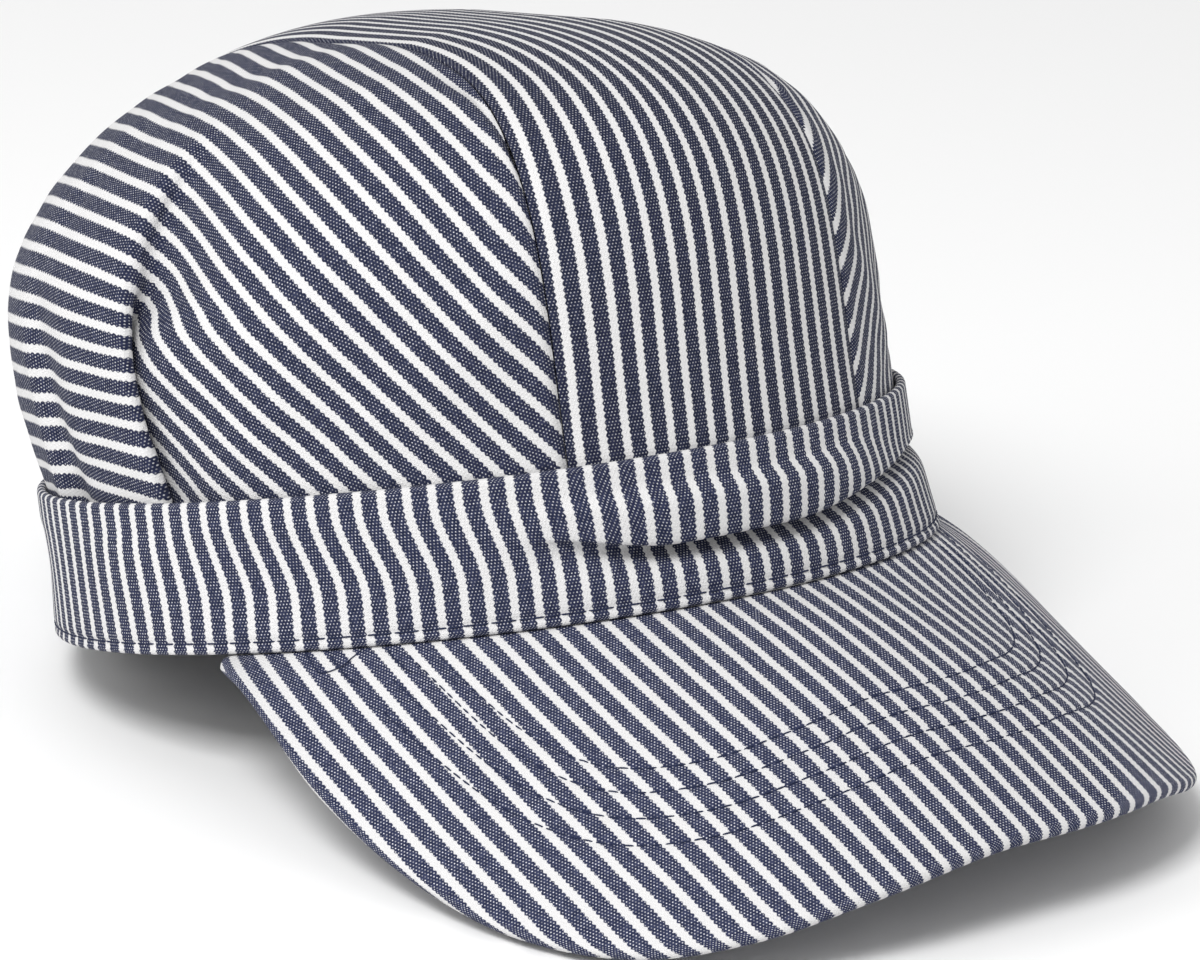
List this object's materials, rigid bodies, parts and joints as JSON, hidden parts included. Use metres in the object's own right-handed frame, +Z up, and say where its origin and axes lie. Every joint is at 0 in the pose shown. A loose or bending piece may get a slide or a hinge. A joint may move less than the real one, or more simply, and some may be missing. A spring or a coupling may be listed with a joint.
{
  "type": "railroad engineer cap",
  "caption": "Striped cotton cap with a pleated round crown, a doubled band and a stiff drooping peak.",
  "frame": {"origin": "on the surface that the cap rests on, under the middle of the cap's box", "axes": "+Z up, -Y the way the wearer faces, -X the wearer's right"},
  "size_m": [0.193, 0.2882, 0.1466],
  "materials": {
    "striped_cotton_band": "matt cotton twill, navy and white stripes that run up the band",
    "striped_cotton_peak": "matt cotton twill over a stiff core, navy and white stripes from front to back",
    "striped_cotton_crown": "matt cotton twill, navy and white stripes"
  },
  "bodies": {
    "root": {"band": "striped_cotton_band", "peak": "striped_cotton_peak", "crown_middle_strip": "striped_cotton_crown", "crown_side_right": "striped_cotton_crown", "crown_side_left": "striped_cotton_crown"}
  },
  "joints": []
}
